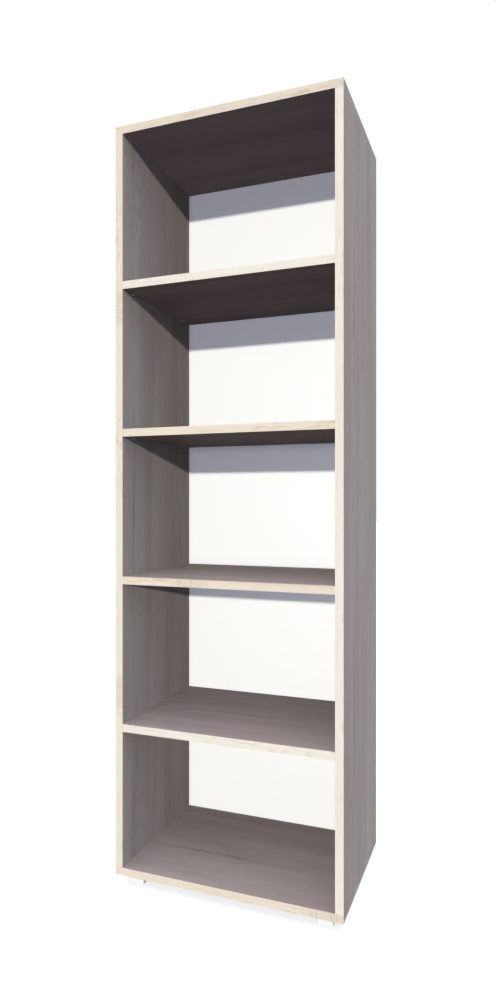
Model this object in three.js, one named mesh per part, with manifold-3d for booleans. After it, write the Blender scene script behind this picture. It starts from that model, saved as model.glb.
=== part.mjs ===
// A tall open-fronted office shelving unit of faced chipboard on four plastic block feet.
// The top and the bottom lie over the ends of the two sides, a thin back panel sits in a groove all round,
// one shelf is fixed with cams and three more lie loose on pins, so that each can be drawn out forwards.
// Millimetres. X runs across the width, Y from the front edge (-) to the rear edge (+), Z up from the floor.
import * as THREE from "three";
import { mergeVertices } from "three/addons/utils/BufferGeometryUtils.js";
import Module from "manifold-3d";

const wasm = await Module();
wasm.setup();

// Case
const caseWidth = 600;
const caseDepth = 400;
const sideThickness = 20;
const topThickness = 20;
const bottomThickness = 20;
const bandThickness = 1; // plastic strip glued on every edge that shows

// Shelves and the clear heights between the boards
const shelfThickness = 20;
const topClearHeight = 380;
const middleClearHeight = 360;
const bottomClearHeight = 350;
const shelfCount = 4;
const fixedShelf = 3; // counted from the top
const shelfSideClearance = 0.5; // at each end of a loose shelf
const shelfRearClearance = 1; // between a shelf and the back panel

// Back panel and its groove
const backThickness = 3;
const backInset = 8; // from the rear edge of the case to the back panel
const grooveDepth = 8;
const backEdgeClearance = 0.5;

// Feet
const footWidth = 40;
const footHeight = 24;
const footCornerRadius = 3;
const footSideInset = 30;
const footFrontInset = 20;
const footRearInset = 20;
const footWebThickness = 10; // what the foot screw clamps, above the counterbore
const footCounterboreRadius = 5.5;

// Foot screws
const footScrewLength = 25; // under the head
const footScrewRadius = 2;
const footScrewHeadRadius = 4;
const footScrewHeadHeight = 2.6;
const footScrewTipLength = 3;
const crossRecessLength = 4.4;
const crossRecessWidth = 1;
const crossRecessDepth = 1.6;

// Case screws, two at each end of the top and of the bottom, into the ends of the sides
const caseScrewLength = 50;
const caseScrewHeadRadius = 5;
const caseScrewHeadHeight = 1.2;
const caseScrewConeHeight = 2.5;
const caseScrewShankRadius = 3.5;
const caseScrewShankLength = 18;
const caseScrewThreadRadius = 3;
const caseScrewTipRadius = 2;
const caseScrewTipLength = 4;
const caseScrewSink = 0.3; // the head lies this far below the face
const caseScrewFrontInset = 50;
const caseScrewRearInset = 60;
const hexRecessRadius = 2.3; // to its corners
const hexRecessDepth = 2.5;

// Cams and cam bolts of the fixed shelf
const camRadius = 7.5;
const camHeight = 12.5;
const camSetback = 24; // from the face of the side to the axis of the cam
const camFrontInset = 60;
const camRearInset = 70;
const camSlotLength = 9;
const camSlotWidth = 1.6;
const camSlotDepth = 2;
const camBoltThreadLength = 11;
const camBoltThreadRadius = 2.8;
const camBoltCollarRadius = 3.5;
const camBoltCollarLength = 3;
const camBoltStemRadius = 2.6;
const camBoltNeckRadius = 1.8;
const camBoltNeckLength = 4;
const camBoltHeadRadius = 3;
const camBoltHeadLength = 3;

// Dowels of the fixed shelf, one in the middle of each end
const dowelRadius = 4;
const dowelLength = 30;
const dowelInSide = 12; // how much of it is in the side
const dowelEndClearance = 1;

// Shelf pins, four under each loose shelf
const pinStemRadius = 2.5;
const pinStemLength = 8;
const pinCollarRadius = 4;
const pinCollarThickness = 1.5;
const pinTongueLength = 10;
const pinTongueWidth = 8;
const pinTongueThickness = 2.5;
const pinFrontInset = 50;
const pinRearInset = 60;

// Fits and cuts
const fitClearance = 0.3; // between a piece and the cut that holds it
const overrun = 5; // how far a cut runs out through the face that it opens
const roundSegments = 16;
const cornerSegments = 3;

// Levels and planes that follow from the sizes above
const bottomTopZ = footHeight + bottomThickness;
const shelfPitch = middleClearHeight + shelfThickness;
const shelfTopZ = (number) =>
  bottomTopZ + bottomClearHeight + shelfThickness + (shelfCount - number) * shelfPitch;
const shelfUnderZ = (number) => shelfTopZ(number) - shelfThickness;
const topUnderZ = shelfTopZ(1) + topClearHeight;
const topTopZ = topUnderZ + topThickness;
const outerX = caseWidth / 2;
const innerX = outerX - sideThickness;
const sideMiddleX = outerX - sideThickness / 2;
const frontY = -caseDepth / 2;
const rearY = caseDepth / 2;
const boardFrontY = frontY + bandThickness;
const backRearY = rearY - backInset;
const backFrontY = backRearY - backThickness;
const shelfRearY = backFrontY - shelfRearClearance;

// Materials
const oak = new THREE.MeshStandardMaterial({ color: 0xd9ccbf, roughness: 0.62, metalness: 0 });
const edgeBand = new THREE.MeshStandardMaterial({ color: 0xe8ddd1, roughness: 0.5, metalness: 0 });
const whiteBoard = new THREE.MeshStandardMaterial({ color: 0xf2f2f0, roughness: 0.45, metalness: 0 });
const whitePlastic = new THREE.MeshStandardMaterial({ color: 0xf0f0ee, roughness: 0.4, metalness: 0 });
const beech = new THREE.MeshStandardMaterial({ color: 0xd6b283, roughness: 0.8, metalness: 0 });
const zinc = new THREE.MeshStandardMaterial({ color: 0xb9bdc2, roughness: 0.35, metalness: 1 });

const unit = new THREE.Group();

function addPiece(name, geometry, material, position = [0, 0, 0], rotation = [0, 0, 0]) {
  const mesh = new THREE.Mesh(geometry, material);
  mesh.name = name;
  mesh.position.set(...position);
  mesh.rotation.set(...rotation);
  unit.add(mesh);
}

// Solids for cutting and joining

function toSolid(geometry) {
  const plain = geometry.clone();
  plain.deleteAttribute("normal");
  plain.deleteAttribute("uv");
  const merged = mergeVertices(plain);
  return new wasm.Manifold(
    new wasm.Mesh({
      numProp: 3,
      vertProperties: merged.attributes.position.array,
      triVerts: new Uint32Array(merged.index.array),
    }),
  );
}

function toGeometry(solid) {
  const mesh = solid.getMesh();
  const geometry = new THREE.BufferGeometry();
  geometry.setAttribute("position", new THREE.BufferAttribute(mesh.vertProperties, mesh.numProp));
  geometry.setIndex(new THREE.BufferAttribute(mesh.triVerts, 1));
  const flat = geometry.toNonIndexed();
  flat.computeVertexNormals();
  return flat;
}

function cut(geometry, tools) {
  return toGeometry(tools.reduce((left, tool) => left.subtract(tool), toSolid(geometry)));
}

// Basic shapes

function block([x0, x1], [y0, y1], [z0, z1]) {
  const geometry = new THREE.BoxGeometry(x1 - x0, y1 - y0, z1 - z0);
  return geometry.translate((x0 + x1) / 2, (y0 + y1) / 2, (z0 + z1) / 2);
}

// A solid of revolution about its own Z axis, from [radius, height] points that start and end on the axis.
function turned(outline) {
  const points = outline.map(([radius, height]) => new THREE.Vector2(radius, height));
  return new THREE.LatheGeometry(points, roundSegments).rotateX(Math.PI / 2);
}

function rod(radius, z0, z1) {
  return turned([
    [0, z0],
    [radius, z0],
    [radius, z1],
    [0, z1],
  ]);
}

// Two crossed slots in a face at height 0 that looks up (sign 1) or down (sign -1)
function crossRecess(length, width, depth, sign) {
  const heights = sign > 0 ? [-depth, overrun] : [-overrun, depth];
  const along = [-length / 2, length / 2];
  const across = [-width / 2, width / 2];
  return [toSolid(block(along, across, heights)), toSolid(block(across, along, heights))];
}

// Directions for a piece's own Z axis, as turns
const pointUp = [0, 0, 0];
const pointDown = [Math.PI, 0, 0];
const pointRight = [0, Math.PI / 2, 0];
const pointLeft = [0, -Math.PI / 2, 0];
const turnedRound = [0, 0, Math.PI];

function boreAt(geometry, position, rotation) {
  const matrix = new THREE.Matrix4().makeRotationFromEuler(new THREE.Euler(...rotation));
  matrix.setPosition(...position);
  return toSolid(geometry.clone().applyMatrix4(matrix));
}

const sides = [
  { side: "left", sign: -1 },
  { side: "right", sign: 1 },
];

function depths(frontInset, rearInset) {
  return [
    { place: "front", y: frontY + frontInset },
    { place: "rear", y: rearY - rearInset },
  ];
}

// Every bore in the boards, collected as the pieces that need them are made
const bores = [];

// Case screws: head level with a face, thread in the end of a side. The bore has the same outline, grown.
function caseScrewOutline(grow, rise) {
  const coneZ = -caseScrewHeadHeight;
  const tipZ = -caseScrewLength;
  return [
    [0, tipZ - grow],
    [caseScrewTipRadius + grow, tipZ - grow],
    [caseScrewThreadRadius + grow, tipZ + caseScrewTipLength],
    [caseScrewThreadRadius + grow, -caseScrewShankLength - grow],
    [caseScrewShankRadius + grow, -caseScrewShankLength - grow],
    [caseScrewShankRadius + grow, coneZ - caseScrewConeHeight - grow],
    [caseScrewHeadRadius + grow, coneZ - grow],
    [caseScrewHeadRadius + grow, rise],
    [0, rise],
  ];
}

function makeCaseScrews() {
  const hexRecess = new THREE.CylinderGeometry(
    hexRecessRadius, hexRecessRadius, 2 * hexRecessDepth, 6,
  ).rotateX(Math.PI / 2);
  const screw = cut(turned(caseScrewOutline(0, 0)), [toSolid(hexRecess)]);
  const bore = turned(caseScrewOutline(fitClearance, overrun));
  const ends = [
    { board: "top", z: topTopZ - caseScrewSink, turn: pointUp },
    { board: "bottom", z: footHeight + caseScrewSink, turn: pointDown },
  ];
  for (const { board, z, turn } of ends) {
    for (const { side, sign } of sides) {
      for (const { place, y } of depths(caseScrewFrontInset, caseScrewRearInset)) {
        const position = [sign * sideMiddleX, y, z];
        addPiece(`${board}_case_screw_${place}_${side}`, screw, zinc, position, turn);
        bores.push(boreAt(bore, position, turn));
      }
    }
  }
}

// Feet: square blocks with rounded corners, counterbored from below for a screw into the bottom board
function footOutline() {
  const half = footWidth / 2;
  const centre = half - footCornerRadius;
  const shape = new THREE.Shape();
  shape.absarc(centre, centre, footCornerRadius, 0, Math.PI / 2);
  shape.absarc(-centre, centre, footCornerRadius, Math.PI / 2, Math.PI);
  shape.absarc(-centre, -centre, footCornerRadius, Math.PI, 1.5 * Math.PI);
  shape.absarc(centre, -centre, footCornerRadius, 1.5 * Math.PI, 2 * Math.PI);
  return shape;
}

// Its own origin is the middle of the top of the head, and the thread runs down from there.
function footScrewOutline(grow, rise) {
  const tipZ = -footScrewHeadHeight - footScrewLength;
  return [
    [0, tipZ - grow],
    [footScrewRadius + grow, tipZ + footScrewTipLength],
    [footScrewRadius + grow, -footScrewHeadHeight - grow],
    [footScrewHeadRadius + grow, -footScrewHeadHeight - grow],
    [footScrewHeadRadius + grow, rise],
    [0, rise],
  ];
}

function makeFeet() {
  const counterboreTopZ = footHeight - footWebThickness;
  const headZ = counterboreTopZ - fitClearance - footScrewHeadHeight;
  const blank = new THREE.ExtrudeGeometry(footOutline(), {
    depth: footHeight,
    bevelEnabled: false,
    curveSegments: cornerSegments,
  });
  const foot = cut(blank, [
    toSolid(rod(footCounterboreRadius, -overrun, counterboreTopZ)),
    toSolid(rod(footScrewRadius + fitClearance, 0, footHeight + overrun)),
  ]);
  const recess = crossRecess(crossRecessLength, crossRecessWidth, crossRecessDepth, 1);
  const screw = cut(turned(footScrewOutline(0, 0)), recess);
  const bore = turned(footScrewOutline(fitClearance, 0));
  const footX = outerX - footSideInset - footWidth / 2;
  const places = depths(footFrontInset + footWidth / 2, footRearInset + footWidth / 2);
  for (const { side, sign } of sides) {
    for (const { place, y } of places) {
      const screwPosition = [sign * footX, y, headZ];
      addPiece(`foot_${place}_${side}`, foot, whitePlastic, [sign * footX, y, 0]);
      addPiece(`foot_screw_${place}_${side}`, screw, zinc, screwPosition, pointDown);
      bores.push(boreAt(bore, screwPosition, pointDown));
    }
  }
}

// Cams: discs let into the underside of the fixed shelf. In its own frame a cam opens towards +X.
function camShape() {
  const mouth = camBoltHeadRadius + fitClearance;
  const boltZ = shelfThickness / 2;
  const channel = block([-mouth, camRadius + overrun], [-mouth, mouth], [boltZ - mouth, boltZ + mouth]);
  const slot = crossRecess(camSlotLength, camSlotWidth, camSlotDepth, -1);
  return cut(rod(camRadius, 0, camHeight), [toSolid(channel), ...slot]);
}

// Its own origin is on the face of the side. The thread is in the side, and the head lies in the cam.
function camBoltOutline() {
  const headEndZ = camSetback + camBoltHeadLength / 2;
  const neckEndZ = headEndZ - camBoltHeadLength;
  const neckStartZ = neckEndZ - camBoltNeckLength;
  const collarEndZ = fitClearance + camBoltCollarLength;
  return [
    [0, -camBoltThreadLength],
    [camBoltThreadRadius, -camBoltThreadLength],
    [camBoltThreadRadius, fitClearance],
    [camBoltCollarRadius, fitClearance],
    [camBoltCollarRadius, collarEndZ],
    [camBoltStemRadius, collarEndZ],
    [camBoltStemRadius, neckStartZ],
    [camBoltNeckRadius, neckStartZ],
    [camBoltNeckRadius, neckEndZ],
    [camBoltHeadRadius, neckEndZ],
    [camBoltHeadRadius, headEndZ],
    [0, headEndZ],
  ];
}

function makeShelfFittings() {
  const underZ = shelfUnderZ(fixedShelf);
  const boltZ = underZ + shelfThickness / 2;
  const cam = camShape();
  const camBore = rod(camRadius + fitClearance, -overrun, camHeight + fitClearance);
  const bolt = turned(camBoltOutline());
  const boltBores = [
    rod(camBoltThreadRadius + fitClearance, -camBoltThreadLength - fitClearance, overrun),
    rod(camBoltCollarRadius + fitClearance, 0, camSetback + camBoltHeadLength / 2 + fitClearance),
  ];
  const dowel = rod(dowelRadius, -dowelInSide, dowelLength - dowelInSide);
  const dowelBore = rod(
    dowelRadius + fitClearance,
    -dowelInSide - dowelEndClearance,
    dowelLength - dowelInSide + dowelEndClearance,
  );
  for (const { side, sign } of sides) {
    const inwards = sign > 0 ? pointLeft : pointRight;
    for (const { place, y } of depths(camFrontInset, camRearInset)) {
      const camPosition = [sign * (innerX - camSetback), y, underZ];
      const camTurn = sign > 0 ? pointUp : turnedRound;
      const boltPosition = [sign * innerX, y, boltZ];
      addPiece(`cam_${place}_${side}`, cam, zinc, camPosition, camTurn);
      addPiece(`cam_bolt_${place}_${side}`, bolt, zinc, boltPosition, inwards);
      bores.push(boreAt(camBore, camPosition, camTurn));
      bores.push(...boltBores.map((bore) => boreAt(bore, boltPosition, inwards)));
    }
    const dowelPosition = [sign * innerX, 0, boltZ];
    addPiece(`shelf_dowel_${side}`, dowel, beech, dowelPosition, inwards);
    bores.push(boreAt(dowelBore, dowelPosition, inwards));
  }
}

// Shelf pins: a stem in the side, a collar against it and a flat tongue under the shelf.
// In its own frame a pin reaches towards +X, from the face of the side, and its tongue's top is at height 0.
function pinShape() {
  const stem = rod(pinStemRadius, -pinStemLength, pinCollarThickness).rotateY(Math.PI / 2);
  const collar = rod(pinCollarRadius, fitClearance, pinCollarThickness).rotateY(Math.PI / 2);
  const tongue = block(
    [fitClearance, pinTongueLength],
    [-pinTongueWidth / 2, pinTongueWidth / 2],
    [-pinTongueThickness, 0],
  );
  const pin = toSolid(stem.translate(0, 0, -pinCollarRadius))
    .add(toSolid(collar.translate(0, 0, -pinCollarRadius)))
    .add(toSolid(tongue));
  return toGeometry(pin);
}

function makeShelfPins(number) {
  const pin = pinShape();
  const bore = rod(pinStemRadius + fitClearance, -pinStemLength - fitClearance, overrun)
    .rotateY(Math.PI / 2)
    .translate(0, 0, -pinCollarRadius);
  const tongueTopZ = shelfUnderZ(number) - fitClearance;
  for (const { side, sign } of sides) {
    for (const { place, y } of depths(pinFrontInset, pinRearInset)) {
      const position = [sign * innerX, y, tongueTopZ];
      const turn = sign > 0 ? turnedRound : pointUp;
      addPiece(`shelf_${number}_pin_${place}_${side}`, pin, zinc, position, turn);
      bores.push(boreAt(bore, position, turn));
    }
  }
}

// Boards

function addBand(name, xs, ys, zs) {
  addPiece(name, block(xs, ys, zs), edgeBand);
}

function makeSides(backSpace) {
  const zs = [bottomTopZ, topUnderZ];
  for (const { side, sign } of sides) {
    const xs = sign > 0 ? [innerX, outerX] : [-outerX, -innerX];
    const board = block(xs, [boardFrontY, rearY], zs);
    addPiece(`side_panel_${side}`, cut(board, [backSpace, ...bores]), oak);
    addBand(`side_front_band_${side}`, xs, [frontY, boardFrontY], zs);
  }
}

// The top or the bottom, with a band along its front edge and on each end
function makeEndBoard(name, zs, backSpace) {
  const endX = outerX - bandThickness;
  const board = block([-endX, endX], [boardFrontY, rearY], zs);
  addPiece(`${name}_panel`, cut(board, [backSpace, ...bores]), oak);
  addBand(`${name}_front_band`, [-outerX, outerX], [frontY, boardFrontY], zs);
  for (const { side, sign } of sides) {
    const xs = sign > 0 ? [endX, outerX] : [-outerX, -endX];
    addBand(`${name}_end_band_${side}`, xs, [boardFrontY, rearY], zs);
  }
}

function makeShelf(number) {
  const isFixed = number === fixedShelf;
  const endX = isFixed ? innerX : innerX - shelfSideClearance;
  const xs = [-endX, endX];
  const zs = [shelfUnderZ(number), shelfTopZ(number)];
  const board = block(xs, [boardFrontY, shelfRearY], zs);
  addPiece(`shelf_${number}_${isFixed ? "fixed" : "loose"}`, isFixed ? cut(board, bores) : board, oak);
  addBand(`shelf_${number}_front_band`, xs, [frontY, boardFrontY], zs);
}

function makeBackPanel() {
  const reach = grooveDepth - backEdgeClearance;
  const panel = block(
    [-innerX - reach, innerX + reach],
    [backFrontY, backRearY],
    [bottomTopZ - reach, topUnderZ + reach],
  );
  addPiece("back_panel", panel, whiteBoard);
}

// The space that the back panel and its grooves take up, as one slab
function backPanelSpace() {
  return toSolid(
    block(
      [-innerX - grooveDepth, innerX + grooveDepth],
      [backFrontY - fitClearance, backRearY + fitClearance],
      [bottomTopZ - grooveDepth, topUnderZ + grooveDepth],
    ),
  );
}

const shelfNumbers = Array.from({ length: shelfCount }, (_, index) => index + 1);

makeCaseScrews();
makeFeet();
makeShelfFittings();
shelfNumbers.filter((number) => number !== fixedShelf).forEach(makeShelfPins);

const backSpace = backPanelSpace();
makeSides(backSpace);
makeEndBoard("top", [topUnderZ, topTopZ], backSpace);
makeEndBoard("bottom", [footHeight, bottomTopZ], backSpace);
shelfNumbers.forEach(makeShelf);
makeBackPanel();

export default unit;
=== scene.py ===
"""Looks of the office shelving unit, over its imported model. Metres, Z up, the open front faces -Y."""
import math
from collections import namedtuple

import bmesh
import bpy
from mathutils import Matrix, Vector


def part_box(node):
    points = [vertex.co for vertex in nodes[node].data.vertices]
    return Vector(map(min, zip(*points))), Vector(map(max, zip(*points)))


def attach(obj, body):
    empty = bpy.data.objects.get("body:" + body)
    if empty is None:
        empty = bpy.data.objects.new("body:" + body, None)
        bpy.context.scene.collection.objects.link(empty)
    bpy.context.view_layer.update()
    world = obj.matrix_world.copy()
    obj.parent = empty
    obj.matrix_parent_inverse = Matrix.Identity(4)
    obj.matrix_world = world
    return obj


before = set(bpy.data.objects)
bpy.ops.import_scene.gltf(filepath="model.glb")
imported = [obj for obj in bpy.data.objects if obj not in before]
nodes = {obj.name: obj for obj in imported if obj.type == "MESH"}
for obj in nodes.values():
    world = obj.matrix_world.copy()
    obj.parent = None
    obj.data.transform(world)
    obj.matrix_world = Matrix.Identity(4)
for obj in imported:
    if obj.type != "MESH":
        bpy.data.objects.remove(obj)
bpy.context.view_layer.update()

scene = bpy.context.scene

MM = 0.001
WHITE = (1.0, 1.0, 1.0, 1.0)

# The photograph's camera: level, in pixels of a frame 496 wide and 1000 high
FRAME_WIDTH_PX = 496
FRAME_HEIGHT_PX = 1000
FOCAL_PX = 684.37
CENTRE_PX = (255.28, 500.5)
CAMERA_AT = (0.65894, -1.72998, 0.98964)
CAMERA_YAW = math.radians(20.558)
SENSOR_MM = 36.0
FAR_CLIP = 200.0

# Lamps. At a level of 1, a face square to the lamp shows a colour about as it is written.
NEUTRAL = (1.0, 0.985, 0.96)
IVORY = (1.0, 0.99, 0.93)
COOL = (0.83, 0.85, 1.04)
COLD = (0.68, 0.95, 1.27)
PALE = (0.84, 0.86, 1.0)
WARM = (1.0, 0.72, 0.76)
# Lamps far off, each with its name, the way its light goes, level, angle across in degrees and colour
FAR_LAMPS = (
    ("key", (-0.24, 1.0, -0.208), 0.74, 1.6, IVORY),
    ("right_fill", (-1.0, 0.25, -0.02), 0.27, 40.0, COLD),
    ("top_fill", (0.0, 0.0, -1.0), 0.88, 100.0, PALE),
    ("rear_left_fill", (0.6, -1.0, -0.3), 0.78, 60.0, NEUTRAL),
)
# Faint far lamps without shadows. They stand in for light that floor, ceiling and walls send back.
SENT_BACK = (
    ("from_floor", (0.0, 0.0, 1.0), 0.025, 1.0, WARM),
    ("from_ceiling", (0.0, 0.0, -1.0), 0.042, 1.0, PALE),
    ("from_left", (1.0, 0.0, 0.0), 0.14, 1.0, PALE),
    ("from_right", (-1.0, 0.0, 0.0), 0.045, 1.0, PALE),
)
# One round soft lamp in front, at half the unit's height
SOFT_LAMP_AT = (0.0, -5.0, 1.0)
SOFT_LAMP_WIDTH = 1.0
SOFT_LAMP_LEVEL = 0.347
# A faint even light from all round
SURROUND = (0.01, 0.01, 0.012)


def srgb(red, green, blue):
    """A colour written as 0 to 255 display values, as linear RGBA, by the usual sRGB formula."""
    def linear(value):
        share = value / 255
        return share / 12.92 if share <= 0.04045 else ((share + 0.055) / 1.055) ** 2.4
    return (linear(red), linear(green), linear(blue), 1.0)


# A layer of noise in a material: features per metre along and across the grain, detail and roughness of the
# noise, the levels of the noise where the layer begins and is full, and how much it shows there
Layer = namedtuple("Layer", "along across detail roughness begin full share", defaults=(0.5, 0.0, 1.0, 1.0))
# Most of a noise lies between these levels
MID_NOISE = (0.3, 0.7)


class Graph:
    """A node tree with short ways to add and link nodes."""

    def __init__(self, tree):
        self.tree = tree
        tree.nodes.clear()

    def add(self, kind, inputs=None, **settings):
        """A new node. An input's value is a constant, or a socket that is linked to it."""
        made = self.tree.nodes.new(kind)
        for key, value in settings.items():
            setattr(made, key, value)
        for key, value in (inputs or {}).items():
            if isinstance(value, bpy.types.NodeSocket):
                self.tree.links.new(value, made.inputs[key])
            else:
                made.inputs[key].default_value = value
        return made

    def math(self, operation, first, second=0.0):
        return self.add("ShaderNodeMath", {0: first, 1: second}, operation=operation).outputs[0]

    def ramp(self, value, low, high, to_low=0.0, to_high=1.0):
        """Value from low..high to to_low..to_high, smooth and clamped."""
        inputs = {"Value": value, "From Min": low, "From Max": high, "To Min": to_low, "To Max": to_high}
        return self.add("ShaderNodeMapRange", inputs, interpolation_type="SMOOTHSTEP").outputs["Result"]

    def mix(self, share, first, second, blend="MIX"):
        """Two colours mixed. This node's sockets for colour are inputs 6 and 7 and output 2."""
        inputs = {0: share, 6: first, 7: second}
        return self.add("ShaderNodeMix", inputs, data_type="RGBA", blend_type=blend).outputs[2]

    def place(self):
        """Object coordinates, in metres."""
        return self.add("ShaderNodeTexCoord").outputs["Object"]

    def place_parts(self):
        """The X, Y and Z of the object coordinates, by name."""
        return self.add("ShaderNodeSeparateXYZ", {0: self.place()}).outputs

    def noise(self, layer, offset, axis="X"):
        """A layer's noise, with its grain along the axis, and moved by an offset."""
        scale = tuple(layer.along if letter == axis else layer.across for letter in "XYZ")
        stretched = {"Vector": self.place(), "Scale": scale, "Location": offset}
        inputs = {
            "Vector": self.add("ShaderNodeMapping", stretched).outputs["Vector"],
            "Scale": 1.0,
            "Detail": layer.detail,
            "Roughness": layer.roughness,
        }
        return self.add("ShaderNodeTexNoise", inputs).outputs[0]

    def mask(self, layer, offset, axis="X", to_low=0.0, to_high=1.0):
        """Where a layer shows: from its beginning to its full level."""
        return self.ramp(self.noise(layer, offset, axis), layer.begin, layer.full, to_low, to_high)

    def surface(self, colour, roughness, bump, **constants):
        """The Principled shader, with its constants set on its own sockets. A bump is a height, the depth
        that it stands for, and its strength."""
        height, distance, strength = bump
        values = {"Height": height, "Distance": distance, "Strength": strength}
        normal = self.add("ShaderNodeBump", values).outputs[0]
        inputs = {"Base Color": colour, "Roughness": roughness, "Normal": normal}
        inputs.update({key.replace("_", " "): value for key, value in constants.items()})
        shader = self.add("ShaderNodeBsdfPrincipled", inputs)
        self.add("ShaderNodeOutputMaterial", {"Surface": shader.outputs[0]})


def new_material(name):
    material = bpy.data.materials.new(name)
    material.use_nodes = True
    return material, Graph(material.node_tree)


# Oak decor, printed foil with straight grain along one axis. Tones are light, middle, dark and pores.
# The boards' tones are darker than the front strips': partly the foil's own colour, partly painted shade of
# the broad faces, which face away from the front lamps.
BOARD_TONES = (srgb(205, 191, 182), srgb(190, 175, 166), srgb(160, 144, 135), srgb(142, 126, 116))
WARM_STRIP_TONES = (srgb(224, 212, 193), srgb(219, 206, 186), srgb(199, 183, 158), srgb(185, 167, 142))
PALE_STRIP_TONES = (srgb(229, 222, 208), srgb(225, 218, 203), srgb(206, 196, 177), srgb(189, 176, 156))
DEEP_STRIP_TONES = (srgb(218, 206, 187), srgb(211, 198, 178), srgb(191, 175, 151), srgb(177, 159, 135))
# Each seed moves the decor by one more of these steps, so no two pieces are alike
SEED_STEP = (1.37, 2.11, 0.73)
# Soft bands from the light to the middle tone, and dark streaks, from broad to fine
BANDS = Layer(0.8, 14.0, 3.0, 0.55, 0.3, 0.7)
STREAKS = (
    Layer(1.3, 42.0, 3.0, 0.60, 0.54, 0.78, 0.24),
    Layer(2.8, 150.0, 3.0, 0.65, 0.56, 0.80, 0.36),
    Layer(18.0, 330.0, 1.0, 0.50, 0.56, 0.70, 0.24),
)
# Flame figure: thin contour lines of a slow noise, in some places only
CONTOURS = Layer(0.35, 5.5, 1.0)
CONTOUR_RATE = 46.0
CONTOUR_LEVELS = (0.3, 1.0)
FLAME_PLACES = Layer(0.8, 3.0, 2.0, 0.5, 0.5, 0.66, 0.16)
# Short dark flecks, in some places only
FLECKS = Layer(30.0, 130.0, 2.0, 0.5, 0.53, 0.64, 0.5)
FLECK_PLACES = Layer(3.0, 11.0, 1.0, 0.5, 0.45, 0.6)
# Clouds of a faint mauve cast
CLOUDS = Layer(2.5, 9.0, 1.0, 0.5, 0.35, 0.65)
MAUVE = srgb(252, 247, 252)
# Fine fibres, which change the tone by these factors, and pores, which lie deeper than the fibres
FIBRES = Layer(14.0, 620.0, 2.0, 0.6, 0.25, 0.75)
FIBRE_FACTORS = (0.95, 1.03)
PORES = Layer(48.0, 1150.0, 1.0, 0.5, 0.63, 0.74, 0.3)
PORE_DEPTH = 0.8
# Pale saw marks across the grain, in patches
SAW_MARKS = Layer(420.0, 22.0, 1.0, 0.5, 0.5, 0.68, 0.35)
SAW_PATCHES = Layer(9.0, 12.0, 2.0, 0.5, 0.52, 0.64)
# Fine dark ticks across the grain, in clusters that are a little darker as a whole
TICKS = Layer(230.0, 22.0, 1.0, 0.5, 0.48, 0.6, 0.55)
TICKS_HALF_LENGTH = 60 * MM
TICKS_SHADE = 0.25
# The decor comes back after this length
DECOR_REPEAT = 1.0
BOARD_ROUGHNESS = (0.6, 0.7)
BOARD_BUMP = (0.05 * MM, 0.35)
BOARD_GLOSS = 0.05
# The heart line: a soft dark line along the grain. All of it has a part of the full strength, and its core
# adds the same again. It wavers, and is broken here and there down to its least.
HEART_HALF_WIDTH = 10 * MM
HEART_HALF_LENGTH = 380 * MM
HEART_SHARE = 0.8
HEART_PART = 0.5
HEART_WAVER = 1.5 * MM
WAVERING = Layer(3.0, 1.0, 2.0, 0.5, 0.2, 0.8)
HEART_BREAKS = Layer(24.0, 60.0, 1.0, 0.5, 0.35, 0.6)
HEART_LEAST = 0.6
# Flecks are full near the heart line, and down to a share of that beyond its reach
HEART_NEAR = 18 * MM
HEART_REACH = 90 * MM
FAR_FLECKS = 0.3


def near_along(graph, place, at, reach):
    """1 within a third of the reach from one place along the grain, down to 0 at the reach, and again at each
    repeat of the decor."""
    turn = 2 * math.pi / DECOR_REPEAT
    wave = graph.math("COSINE", graph.math("MULTIPLY", graph.math("SUBTRACT", place, at), turn))
    return graph.ramp(wave, math.cos(turn * reach), math.cos(turn * reach / 3))


def heart_masks(graph, mask, axis, heart):
    """The heart line, and how near to it a place is."""
    depth_at, along_at, core_half_length = heart
    place = graph.place_parts()
    middle = mask(WAVERING, depth_at - HEART_WAVER, depth_at + HEART_WAVER)
    aside = graph.math("ABSOLUTE", graph.math("SUBTRACT", place["Y"], middle))
    whole = near_along(graph, place[axis], along_at, HEART_HALF_LENGTH)
    core = near_along(graph, place[axis], along_at, core_half_length)
    strength = graph.math("MULTIPLY", graph.math("ADD", whole, core), HEART_PART)
    broken = mask(HEART_BREAKS, HEART_LEAST, 1.0)
    line = graph.math("MULTIPLY", graph.ramp(aside, 0.0, HEART_HALF_WIDTH, 1.0, 0.0), strength)
    near = graph.ramp(aside, HEART_NEAR, HEART_REACH, 1.0, FAR_FLECKS)
    return graph.math("MULTIPLY", line, broken), near


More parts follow.
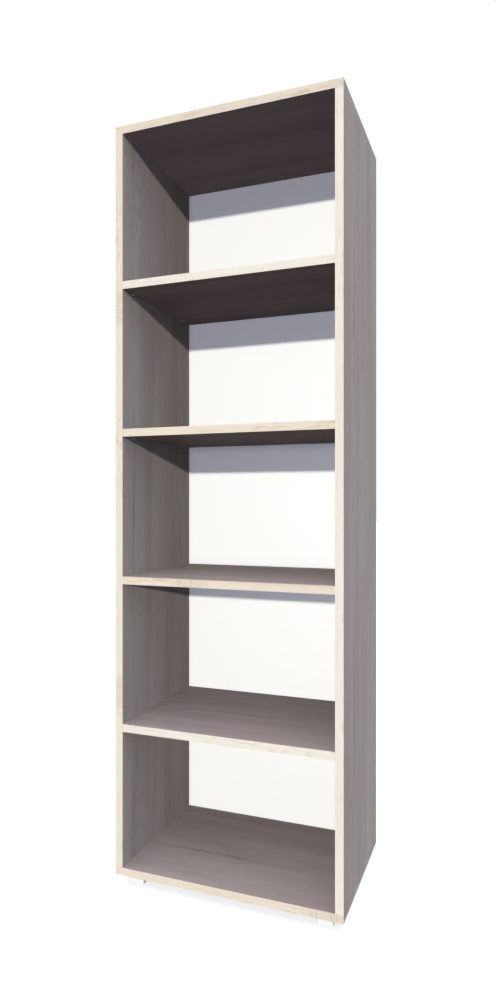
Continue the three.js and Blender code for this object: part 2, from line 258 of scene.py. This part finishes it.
def oak(name, axis, seed, tones, figure=1.0, cast=False, heart=None, ticks_at=None):
    """Oak decor with its grain along the axis. Figure is how strongly its bands and streaks show."""
    material, graph = new_material(name)
    light, middle, dark, pore = tones
    offset = tuple(seed * step for step in SEED_STEP)

    def noise(layer):
        return graph.noise(layer, offset, axis)

    def mask(layer, to_low=0.0, to_high=1.0):
        return graph.mask(layer, offset, axis, to_low, to_high)

    def darken(colour, where, share, tone=dark):
        return graph.mix(graph.math("MULTIPLY", where, share), colour, tone)

    colour = graph.mix(mask(BANDS), light, middle)
    for streak in STREAKS:
        colour = darken(colour, mask(streak), streak.share * figure)
    contours = graph.math("SINE", graph.math("MULTIPLY", noise(CONTOURS), CONTOUR_RATE))
    flame = graph.math("MULTIPLY", graph.ramp(contours, *CONTOUR_LEVELS), mask(FLAME_PLACES))
    colour = darken(colour, flame, FLAME_PLACES.share * figure)
    flecks = graph.math("MULTIPLY", mask(FLECKS), mask(FLECK_PLACES))
    if heart:
        line, near = heart_masks(graph, mask, axis, heart)
        colour = darken(colour, line, HEART_SHARE)
        flecks = graph.math("MULTIPLY", flecks, near)
    if cast:
        colour = graph.mix(mask(CLOUDS), colour, MAUVE, "MULTIPLY")
    colour = darken(colour, flecks, FLECKS.share * figure)
    if ticks_at is not None:
        cluster = near_along(graph, graph.place_parts()[axis], ticks_at, TICKS_HALF_LENGTH)
        colour = darken(colour, cluster, TICKS_SHADE)
        colour = darken(colour, graph.math("MULTIPLY", cluster, mask(TICKS)), TICKS.share)
    fibres = noise(FIBRES)
    factor = graph.ramp(fibres, FIBRES.begin, FIBRES.full, *FIBRE_FACTORS)
    colour = graph.mix(1.0, colour, factor, "MULTIPLY")
    pores = mask(PORES)
    colour = darken(colour, pores, PORES.share, pore)
    saw_marks = graph.math("MULTIPLY", mask(SAW_MARKS), mask(SAW_PATCHES))
    colour = darken(colour, saw_marks, SAW_MARKS.share, light)
    roughness = graph.ramp(fibres, *MID_NOISE, *BOARD_ROUGHNESS)
    height = graph.math("SUBTRACT", fibres, graph.math("MULTIPLY", pores, PORE_DEPTH))
    graph.surface(colour, roughness, (height, *BOARD_BUMP), Specular_IOR_Level=BOARD_GLOSS)
    return material


# Chipboard: pressed flakes, with darker gaps between them
FLAKES_PER_METRE = 420.0
FLAKE_TONES = (srgb(168, 132, 92), srgb(214, 186, 146))
FLAKE_GAPS = Layer(900.0, 900.0, 2.0, 0.5, 0.58, 0.72, 0.6)
GAP_TONE = srgb(112, 82, 54)
CHIPBOARD_ROUGHNESS = 0.9
CHIPBOARD_BUMP = (0.2 * MM, 0.5)
CHIPBOARD_GLOSS = 0.2


def chipboard():
    """The raw core of a board."""
    material, graph = new_material("chipboard_core")
    flakes = graph.add("ShaderNodeTexVoronoi", {"Vector": graph.place(), "Scale": FLAKES_PER_METRE})
    shade = graph.add("ShaderNodeSeparateColor", {0: flakes.outputs["Color"]}).outputs[0]
    gaps = graph.math("MULTIPLY", graph.mask(FLAKE_GAPS, (3.0, 1.0, 2.0)), FLAKE_GAPS.share)
    colour = graph.mix(gaps, graph.mix(shade, *FLAKE_TONES), GAP_TONE)
    graph.surface(colour, CHIPBOARD_ROUGHNESS, (shade, *CHIPBOARD_BUMP), Specular_IOR_Level=CHIPBOARD_GLOSS)
    return material


# White foil on the front of the back panel: faint clouds of tone, and a fine peel in its gloss
FOIL_CLOUDS = Layer(7.0, 7.0, 2.0)
FOIL_TONES = (srgb(253, 252, 246), srgb(254, 253, 248))
FOIL_PEEL = Layer(260.0, 260.0, 2.0)
FOIL_ROUGHNESS = (0.42, 0.5)
FOIL_BUMP = (0.04 * MM, 0.3)


def white_foil():
    material, graph = new_material("white_back_foil")
    colour = graph.mix(graph.noise(FOIL_CLOUDS, (1.0, 4.0, 2.0)), *FOIL_TONES)
    peel = graph.noise(FOIL_PEEL, (0.0, 0.0, 0.0))
    graph.surface(colour, graph.ramp(peel, *MID_NOISE, *FOIL_ROUGHNESS), (peel, *FOIL_BUMP))
    return material


# Raw fibreboard on its rear: a mottle, with dark specks
FIBREBOARD_MOTTLE = Layer(38.0, 38.0, 5.0, 0.65)
FIBREBOARD_TONES = (srgb(132, 98, 68), srgb(164, 128, 92))
SPECKS = Layer(700.0, 700.0, 2.0, 0.5, 0.6, 0.72, 0.5)
SPECK_TONE = srgb(96, 68, 46)
FIBREBOARD_ROUGHNESS = 0.82
FIBREBOARD_BUMP = (0.1 * MM, 0.4)
FIBREBOARD_GLOSS = 0.25


def raw_fibreboard():
    material, graph = new_material("fibreboard_rear")
    mottle = graph.noise(FIBREBOARD_MOTTLE, (5.0, 1.0, 2.0))
    specks = graph.math("MULTIPLY", graph.mask(SPECKS, (2.0, 2.0, 2.0)), SPECKS.share)
    colour = graph.mix(specks, graph.mix(mottle, *FIBREBOARD_TONES), SPECK_TONE)
    bump = (mottle, *FIBREBOARD_BUMP)
    graph.surface(colour, FIBREBOARD_ROUGHNESS, bump, Specular_IOR_Level=FIBREBOARD_GLOSS)
    return material


# Moulded plastic and metals. Roughness is the least and the most, and bump is depth and strength.
MOTTLE_DETAIL = 3.0
MOULDED_PLASTIC = {
    "per_metre": 900.0,
    "offset": (0.0, 1.0, 0.0),
    "tones": (srgb(244, 243, 238), srgb(249, 248, 243)),
    "roughness": (0.4, 0.52),
    "bump": (0.03 * MM, 0.4),
}
ZINC_PLATE = {
    "per_metre": 450.0,
    "offset": (0.0, 0.0, 3.0),
    "tones": (srgb(176, 180, 184), srgb(206, 208, 208)),
    "roughness": (0.28, 0.42),
    "bump": (0.02 * MM, 0.3),
}
# The shelf pins: duller than the plated screws, and darker, a tone painted down so that they sink into the
# shade under the shelves
DULL_STEEL_IN_PAINTED_SHADE = {
    "per_metre": 450.0,
    "offset": (2.0, 0.0, 1.0),
    "tones": (srgb(118, 114, 110), srgb(144, 140, 136)),
    "roughness": (0.5, 0.6),
    "bump": (0.02 * MM, 0.3),
}


def mottled(name, per_metre, offset, tones, roughness, bump, metallic=0.0):
    """A fine even mottle in tone, roughness and height."""
    material, graph = new_material(name)
    cloud = graph.noise(Layer(per_metre, per_metre, MOTTLE_DETAIL), offset)
    colour = graph.mix(cloud, *tones)
    graph.surface(colour, graph.ramp(cloud, *MID_NOISE, *roughness), (cloud, *bump), Metallic=metallic)
    return material


# Plain beech of the dowels, with its grain along them
BEECH_FIBRES = Layer(30.0, 900.0, 3.0)
BEECH_TONES = (srgb(196, 158, 112), srgb(222, 190, 148))
BEECH_ROUGHNESS = 0.7
BEECH_BUMP = (0.05 * MM, 0.4)
BEECH_GLOSS = 0.3


def beech():
    material, graph = new_material("beech")
    fibres = graph.noise(BEECH_FIBRES, (0.0, 0.0, 0.0))
    colour = graph.mix(fibres, *BEECH_TONES)
    graph.surface(colour, BEECH_ROUGHNESS, (fibres, *BEECH_BUMP), Specular_IOR_Level=BEECH_GLOSS)
    return material


# A face looks along an axis from this share of its normal, and lies in a plane within this distance
FACING = 0.9
IN_PLANE = 0.1 * MM
# Slots of a board's materials
DECOR_SLOT = 0
INSIDE_SLOT = 1
UNDERSIDE_SLOT = 2
# Edges are rounded from one angle, and round pieces are shaded smooth up to another
ROUND_FROM = math.radians(50)
SMOOTH_TO = math.radians(35)
# Width and number of steps of rounded edges
STRIP_EDGE = (0.35 * MM, 2)
FOOT_EDGE = (1.0 * MM, 3)


def dress(node, *materials):
    """Puts the materials in a CAD node's slots, in order."""
    slots = nodes[node].data.materials
    slots.clear()
    for material in materials:
        slots.append(material)


def give_board_slots(node, axis):
    """The two broad faces of a board have decor, with a slot of its own where it faces down. All other faces
    are the inside."""
    low, high = (corner[axis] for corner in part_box(node))
    for face in nodes[node].data.polygons:
        level = face.center[axis]
        broad = abs(face.normal[axis]) > FACING and min(level - low, high - level) < IN_PLANE
        if not broad:
            face.material_index = INSIDE_SLOT
        elif face.normal.z < -FACING:
            face.material_index = UNDERSIDE_SLOT
        else:
            face.material_index = DECOR_SLOT


def soften(node, width, steps):
    bevel = nodes[node].modifiers.new("edges", "BEVEL")
    bevel.width = width
    bevel.segments = steps
    bevel.limit_method = "ANGLE"
    bevel.angle_limit = ROUND_FROM


def smooth_round(node):
    mesh = nodes[node].data
    mesh.shade_smooth()
    mesh.set_sharp_from_angle(angle=SMOOTH_TO)


# Boards: decor on both broad faces, quieter and without a heart line on undersides, and raw core on the
# edges without a strip and in the bores. Each stands or lies, which gives its thickness axis and its grain
# axis, and has its heart line: place in depth, place along the grain, and half the length of its core.
FIRST_BOARD_SEED = 1
UNDERSIDE_FIGURE = 0.55
STANDING = (0, "Z")
LYING = (2, "X")
BOARDS = {
    "side_panel_left": (STANDING, (-0.145, 0.98, 0.09)),
    "side_panel_right": (STANDING, (-0.088, 0.46, 0.09)),
    "top_panel": (LYING, (0.040, 0.10, 0.15)),
    "bottom_panel": (LYING, (-0.051, -0.10, 0.16)),
    "shelf_1_loose": (LYING, (-0.110, 0.12, 0.15)),
    "shelf_2_loose": (LYING, (0.070, -0.15, 0.15)),
    "shelf_3_fixed": (LYING, (0.120, 0.05, 0.15)),
    "shelf_4_loose": (LYING, (-0.016, -0.07, 0.15)),
}
core = chipboard()
for seed, (node, (lie, heart)) in enumerate(BOARDS.items(), start=FIRST_BOARD_SEED):
    thickness_axis, grain_axis = lie
    looks = [oak(f"oak_decor_{node}", grain_axis, seed, BOARD_TONES, cast=True, heart=heart), core]
    if lie == LYING:
        looks.append(oak(f"oak_below_{node}", grain_axis, seed, BOARD_TONES, UNDERSIDE_FIGURE, cast=True))
    dress(node, *looks)
    give_board_slots(node, thickness_axis)

# Edging strips: the same decor along each strip, lighter on the front edges than on the boards, paler yet on
# some and deeper on the top's. The front strips' lighter tone is partly their own colour and partly painted
# light, where they face the front lamps. The strips on the ends of the top and bottom face sideways and have
# the tones of the boards, as painted shade.
# Ticks are places along the strip.
FIRST_STRIP_SEED = 21
STRIP_FIGURE = 1.2
STRIP_TONES = {
    "side_front_band_right": PALE_STRIP_TONES,
    "shelf_1_front_band": PALE_STRIP_TONES,
    "shelf_4_front_band": PALE_STRIP_TONES,
    "top_front_band": DEEP_STRIP_TONES,
}
STRIP_TICKS = {"shelf_3_front_band": -0.09, "bottom_front_band": 0.25, "side_front_band_left": 0.49}
strips = sorted(name for name in nodes if "_band" in name)
for seed, node in enumerate(strips, start=FIRST_STRIP_SEED):
    low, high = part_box(node)
    size = high - low
    longest = "XYZ"[max(range(3), key=lambda axis: size[axis])]
    # End strips take the boards' darker tones: painted shade where they face sideways
    usual = BOARD_TONES if "_end_" in node else WARM_STRIP_TONES
    tones = STRIP_TONES.get(node, usual)
    ticks_at = STRIP_TICKS.get(node)
    dress(node, oak(f"oak_strip_{node}", longest, seed, tones, STRIP_FIGURE, ticks_at=ticks_at))
    soften(node, *STRIP_EDGE)

# Back panel: white foil in front, bare board behind and on its edges
dress("back_panel", white_foil(), raw_fibreboard())
for face in nodes["back_panel"].data.polygons:
    face.material_index = 0 if face.normal.y < -FACING else 1

# Feet and hardware
plastic = mottled("white_moulded_plastic", **MOULDED_PLASTIC)
zinc = mottled("zinc_plate", **ZINC_PLATE, metallic=1.0)
# The pins' steel: dull, with its dark tone painted shade
steel = mottled("dull_steel_in_painted_shade", **DULL_STEEL_IN_PAINTED_SHADE, metallic=1.0)
wooden = beech()
for node in sorted(nodes):
    if "_pin_" in node:
        dress(node, steel)
        smooth_round(node)
    elif node.startswith("foot_screw") or "case_screw" in node or node.startswith("cam"):
        dress(node, zinc)
        smooth_round(node)
    elif node.startswith("foot_"):
        dress(node, plastic)
        soften(node, *FOOT_EDGE)
    elif "dowel" in node:
        dress(node, wooden)
        smooth_round(node)

# Cover caps: thin domed discs stuck over the heads of the top's screws. Their rings of points, from the rim
# inwards, are at shares of the cap's radius and height.
CAP_SEED = 41
CAP_RADIUS = 6.5 * MM
CAP_HEIGHT = 0.5 * MM
CAP_STEPS = 32
CAP_SHARES = ((1.0, 0.0), (0.97, 0.5), (0.88, 0.8), (0.6, 0.95), (0.25, 1.0))


def cover_cap(name, x, y, base_z, material):
    """One cap, closed above and below."""
    mesh = bpy.data.meshes.new(name)
    build = bmesh.new()
    rings = []
    for radius_share, height_share in CAP_SHARES:
        ring = []
        for step in range(CAP_STEPS):
            angle = 2 * math.pi * step / CAP_STEPS
            radius = CAP_RADIUS * radius_share
            level = base_z + CAP_HEIGHT * height_share
            point = (x + radius * math.cos(angle), y + radius * math.sin(angle), level)
            ring.append(build.verts.new(point))
        rings.append(ring)
    for lower, upper in zip(rings, rings[1:]):
        for step in range(CAP_STEPS):
            after = (step + 1) % CAP_STEPS
            build.faces.new((lower[step], lower[after], upper[after], upper[step]))
    build.faces.new(rings[-1])
    build.faces.new(list(reversed(rings[0])))
    build.to_mesh(mesh)
    build.free()
    mesh.shade_smooth()
    mesh.materials.append(material)
    cap = bpy.data.objects.new(name, mesh)
    scene.collection.objects.link(cap)
    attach(cap, "case")


cap_oak = oak("oak_cap", "X", CAP_SEED, BOARD_TONES)
top_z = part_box("top_panel")[1].z
for place in ("front", "rear"):
    for side in ("left", "right"):
        low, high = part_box(f"top_case_screw_{place}_{side}")
        middle = (low + high) / 2
        cover_cap(f"cover_cap_{place}_{side}", middle.x, middle.y, top_z, cap_oak)

# Floor: near white to the camera by its glow, with the unit's shadow in it
FLOOR_HALF = 30.0
FLOOR_GLOW = 0.72
FLOOR_COLOUR = (0.55, 0.55, 0.56, 1.0)


def looked_at(graph):
    """1 for what is seen, straight, in a reflection or through glass, and 0 for what lights the object."""
    path = graph.add("ShaderNodeLightPath")
    seen = graph.math("MAXIMUM", path.outputs["Is Camera Ray"], path.outputs["Is Glossy Ray"])
    return graph.math("MAXIMUM", seen, path.outputs["Is Transmission Ray"])


def make_floor():
    mesh = bpy.data.meshes.new("floor")
    build = bmesh.new()
    corners = [(-1, -1), (1, -1), (1, 1), (-1, 1)]
    build.faces.new([build.verts.new((x * FLOOR_HALF, y * FLOOR_HALF, 0.0)) for x, y in corners])
    build.to_mesh(mesh)
    build.free()
    floor = bpy.data.objects.new("floor", mesh)
    scene.collection.objects.link(floor)
    material, graph = new_material("floor_white")
    seen = looked_at(graph)
    matt = graph.add("ShaderNodeBsdfDiffuse", {"Color": FLOOR_COLOUR})
    glow = graph.add("ShaderNodeEmission", {"Color": WHITE, "Strength": FLOOR_GLOW})
    both = graph.add("ShaderNodeAddShader", {0: matt.outputs[0], 1: glow.outputs[0]})
    shader = graph.add("ShaderNodeMixShader", {0: seen, 1: matt.outputs[0], 2: both.outputs[0]})
    graph.add("ShaderNodeOutputMaterial", {"Surface": shader.outputs[0]})
    mesh.materials.append(material)


def make_surround():
    """A faint even light from all round. The camera and reflections see plain white."""
    world = bpy.data.worlds.new("surround")
    world.use_nodes = True
    scene.world = world
    graph = Graph(world.node_tree)
    seen = looked_at(graph)
    light = graph.add("ShaderNodeBackground", {"Color": (*SURROUND, 1.0), "Strength": 1.0})
    white = graph.add("ShaderNodeBackground", {"Color": WHITE, "Strength": 1.0})
    shader = graph.add("ShaderNodeMixShader", {0: seen, 1: light.outputs[0], 2: white.outputs[0]})
    graph.add("ShaderNodeOutputWorld", {"Surface": shader.outputs[0]})


def place_lamp(lamp, colour, direction):
    lamp.color = colour
    holder = bpy.data.objects.new(lamp.name, lamp)
    holder.rotation_euler = Vector(direction).to_track_quat("-Z", "Y").to_euler()
    scene.collection.objects.link(holder)
    return holder


def make_far_lamp(name, direction, level, angle, colour, shadows=True):
    """A strength of pi gives a level of 1."""
    lamp = bpy.data.lights.new(name, "SUN")
    lamp.energy = level * math.pi
    lamp.angle = math.radians(angle)
    lamp.use_shadow = shadows
    place_lamp(lamp, colour, direction)


def make_soft_lamp():
    """Its power gives the level at the unit: a disc spreads it as pi times the distance squared."""
    lamp = bpy.data.lights.new("soft_lamp", "AREA")
    lamp.shape = "DISK"
    lamp.size = SOFT_LAMP_WIDTH
    distance = -SOFT_LAMP_AT[1]
    lamp.energy = SOFT_LAMP_LEVEL * math.pi * math.pi * distance ** 2
    place_lamp(lamp, COOL, (0.0, 1.0, 0.0)).location = SOFT_LAMP_AT


def make_camera():
    data = bpy.data.cameras.new("camera")
    data.sensor_width = SENSOR_MM
    data.lens = FOCAL_PX / FRAME_HEIGHT_PX * data.sensor_width
    data.shift_x = (FRAME_WIDTH_PX / 2 - CENTRE_PX[0]) / FRAME_HEIGHT_PX
    data.shift_y = (CENTRE_PX[1] - FRAME_HEIGHT_PX / 2) / FRAME_HEIGHT_PX
    data.clip_end = FAR_CLIP
    camera = bpy.data.objects.new("camera", data)
    camera.location = CAMERA_AT
    camera.rotation_euler = (math.pi / 2, 0.0, CAMERA_YAW)
    scene.collection.objects.link(camera)
    scene.camera = camera


make_floor()
make_surround()
for lamp_values in FAR_LAMPS:
    make_far_lamp(*lamp_values)
for lamp_values in SENT_BACK:
    make_far_lamp(*lamp_values, shadows=False)
make_soft_lamp()
make_camera()
scene.view_settings.view_transform = "Standard"
# The photograph shows no light passed on from face to face
scene.cycles.diffuse_bounces = 0
